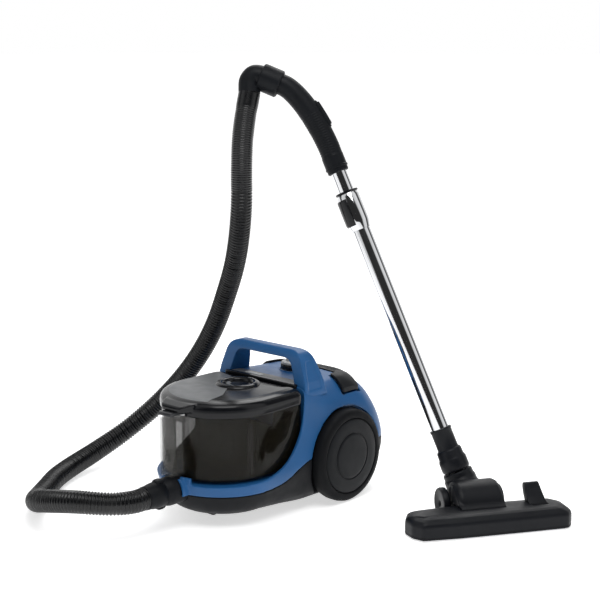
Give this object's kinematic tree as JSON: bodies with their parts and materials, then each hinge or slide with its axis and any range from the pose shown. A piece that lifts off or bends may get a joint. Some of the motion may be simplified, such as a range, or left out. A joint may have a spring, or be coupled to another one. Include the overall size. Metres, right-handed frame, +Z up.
{
  "type": "canister vacuum cleaner",
  "caption": "Bagless canister vacuum cleaner with a clear dust bin, large rear wheels, ribbed hose, telescopic wand and swivelling floor head.",
  "frame": {"origin": "on the floor under the middle of the whole machine without its hose", "axes": "-Y is the canister's front, where the hose plugs in; +X is its right-hand side, where the wand stands; +Z is up"},
  "size_m": [0.9497, 0.7322, 0.8444],
  "materials": {
    "shell_blue": "satin moulded",
    "body_black": "fine grained",
    "trim_grey": "satin",
    "lid_grey": "satin",
    "gloss_black": "gloss",
    "grille_dark": "satin",
    "cyclone_dark": "satin",
    "inner_grey": "moulded",
    "filter_foam": "open foam",
    "seal_rubber": "matt",
    "board_green": "solder mask",
    "steel": "brushed",
    "aluminium": "cast",
    "chrome": "polished",
    "hose_black": "ribbed",
    "handle_black": "fine grained",
    "head_black": "satin",
    "tyre_rubber": "matt",
    "wheel_black": "satin",
    "bin_smoke": "smoky clear",
    "bristle": "nylon bristle"
  },
  "bodies": {
    "canister": {"base_pan": "body_black", "main_shell": "shell_blue", "carry_handle": "shell_blue", "deck_trim": "trim_grey", "exhaust_grille": "grille_dark", "exhaust_filter": "filter_foam", "motor_housing": "inner_grey", "motor_seal": "seal_rubber", "prefilter": "filter_foam", "control_board": "board_green", "reel_axle": "steel", "cord_outlet": "seal_rubber", "inlet_ring": "body_black", "axle_left": "steel", "axle_right": "steel", "hose_tube": "hose_black", "hose_elbow": "handle_black"},
    "wheel_left": {"tyre_left": "tyre_rubber", "wheel_disc_left": "wheel_black", "wheel_cap_left": "wheel_black"},
    "wheel_right": {"tyre_right": "tyre_rubber", "wheel_disc_right": "wheel_black", "wheel_cap_right": "wheel_black"},
    "castor": {"castor_fork": "body_black", "castor_pin": "steel"},
    "castor_roller": {"castor_wheel": "tyre_rubber"},
    "bin": {"bin_cup": "bin_smoke"},
    "latch": {"bin_latch": "gloss_black"},
    "lid": {"bin_lid": "lid_grey", "lid_bezel": "gloss_black", "cyclone_cone": "cyclone_dark", "mesh_filter": "steel"},
    "button": {"lid_button": "gloss_black"},
    "knob": {"power_knob": "trim_grey"},
    "pedal_power": {"power_pedal": "grille_dark"},
    "pedal_rewind": {"rewind_pedal": "grille_dark"},
    "fan": {"fan_rotor": "aluminium"},
    "reel": {"cord_reel": "inner_grey"},
    "cuff": {"hose_cuff": "handle_black"},
    "clip_top": {"cuff_clip_top": "handle_black"},
    "clip_bottom": {"cuff_clip_bottom": "handle_black"},
    "handle": {"handle_tube": "handle_black", "handle_socket": "handle_black", "upper_tube": "chrome"},
    "slider": {"suction_slider": "gloss_black"},
    "lower": {"lower_tube": "chrome", "tube_collar": "chrome", "neck_cuff": "head_black"},
    "stop_latch": {"tube_latch": "gloss_black"},
    "neck": {"neck_elbow": "head_black"},
    "head": {"head_cover": "head_black", "head_hood": "head_black", "sole_plate": "steel", "head_bracket": "body_black", "pivot_shaft": "steel"},
    "roller_left": {"head_wheel_left": "wheel_black"},
    "roller_right": {"head_wheel_right": "wheel_black"},
    "floor_pedal": {"head_pedal": "head_black"},
    "brushes": {"brush_front": "bristle", "brush_rear": "bristle"}
  },
  "joints": [
    {"name": "wheel_left_spin", "type": "hinge", "parent": "canister", "child": "wheel_left", "pos_m": [-0.32862, 0.10666, 0.092], "axis": [1, 0, 0], "continuous": true},
    {"name": "wheel_right_spin", "type": "hinge", "parent": "canister", "child": "wheel_right", "pos_m": [-0.06862, 0.10666, 0.092], "axis": [1, 0, 0], "continuous": true},
    {"name": "castor_swivel", "type": "hinge", "parent": "canister", "child": "castor", "pos_m": [-0.19862, -0.14334, 0.04], "axis": [0, 0, 1], "continuous": true},
    {"name": "castor_roll", "type": "hinge", "parent": "castor", "child": "castor_roller", "pos_m": [-0.19862, -0.13134, 0.015], "axis": [1, 0, 0], "continuous": true},
    {"name": "bin_lift", "type": "slide", "parent": "canister", "child": "bin", "axis": [0, -0.2588, 0.9659], "range_m": [0, 0.2]},
    {"name": "bin_latch_press", "type": "hinge", "parent": "bin", "child": "latch", "pos_m": [-0.19862, -0.21434, 0.219], "axis": [1, 0, 0], "range_deg": [0, 8], "stiffness_Nm_per_rad": 0.3},
    {"name": "lid_lift", "type": "slide", "parent": "bin", "child": "lid", "axis": [0, 0, 1], "range_m": [0, 0.17]},
    {"name": "lid_button_press", "type": "slide", "parent": "lid", "child": "button", "axis": [0, 0, -1], "range_m": [0, 0.003], "stiffness_N_per_m": 400},
    {"name": "power_knob_turn", "type": "hinge", "parent": "canister", "child": "knob", "pos_m": [-0.19862, 0.10566, 0.25], "axis": [0, 0, 1], "range_deg": [0, 270]},
    {"name": "power_pedal_press", "type": "slide", "parent": "canister", "child": "pedal_power", "axis": [0, 0, -1], "range_m": [0, 0.004], "stiffness_N_per_m": 800},
    {"name": "rewind_pedal_press", "type": "slide", "parent": "canister", "child": "pedal_rewind", "axis": [0, 0, -1], "range_m": [0, 0.004], "stiffness_N_per_m": 800},
    {"name": "fan_spin", "type": "hinge", "parent": "canister", "child": "fan", "pos_m": [-0.23262, 0.09966, 0.12], "axis": [0, 1, 0], "continuous": true},
    {"name": "cord_reel_spin", "type": "hinge", "parent": "canister", "child": "reel", "pos_m": [-0.13862, 0.15766, 0.098], "axis": [1, 0, 0], "continuous": true},
    {"name": "cuff_swivel", "type": "hinge", "parent": "canister", "child": "cuff", "pos_m": [-0.19862, -0.25834, 0.074], "axis": [0, 1, 0], "continuous": true},
    {"name": "clip_top_press", "type": "slide", "parent": "cuff", "child": "clip_top", "axis": [0, 0, -1], "range_m": [0, 0.0015], "stiffness_N_per_m": 400},
    {"name": "clip_bottom_press", "type": "slide", "parent": "cuff", "child": "clip_bottom", "axis": [0, 0, 1], "range_m": [0, 0.0015], "stiffness_N_per_m": 400},
    {"name": "handle_swivel", "type": "hinge", "parent": "canister", "child": "handle", "pos_m": [-0.23145, 0.07687, 0.81289], "axis": [-0.7378, -0.557, 0.3815], "continuous": true},
    {"name": "suction_slide", "type": "slide", "parent": "handle", "child": "slider", "axis": [-0.407, -0.0982, 0.9081], "range_m": [0, 0.01]},
    {"name": "wand_telescope", "type": "slide", "parent": "handle", "child": "lower", "axis": [0.407, 0.0982, -0.9081], "range_m": [0, 0.33]},
    {"name": "tube_latch_slide", "type": "slide", "parent": "lower", "child": "stop_latch", "axis": [-0.407, -0.0982, 0.9081], "range_m": [0, 0.008], "stiffness_N_per_m": 400},
    {"name": "neck_swivel", "type": "hinge", "parent": "lower", "child": "neck", "pos_m": [0.14538, 0.19616, 0.0669], "axis": [-0.5881, 0.1445, 0.7958], "range_deg": [-90, 90]},
    {"name": "head_tilt", "type": "hinge", "parent": "neck", "child": "head", "pos_m": [0.17191, 0.18964, 0.031], "axis": [0.5446, 0.8387, 0], "range_deg": [-8, 45]},
    {"name": "roller_left_spin", "type": "hinge", "parent": "head", "child": "roller_left", "pos_m": [0.17191, 0.18964, 0.031], "axis": [0.5446, 0.8387, 0], "continuous": true},
    {"name": "roller_right_spin", "type": "hinge", "parent": "head", "child": "roller_right", "pos_m": [0.17191, 0.18964, 0.031], "axis": [0.5446, 0.8387, 0], "continuous": true},
    {"name": "floor_pedal_rock", "type": "hinge", "parent": "head", "child": "floor_pedal", "pos_m": [0.28797, 0.24901, 0.028], "axis": [0.5446, 0.8387, 0], "range_deg": [-8, 0]},
    {"name": "brush_drop", "type": "slide", "parent": "head", "child": "brushes", "axis": [0, 0, -1], "range_m": [0, 0.006]}
  ],
  "couplings": [
    {"joint": "brush_drop", "follows": "floor_pedal_rock", "m_per_rad": -0.042972}
  ]
}
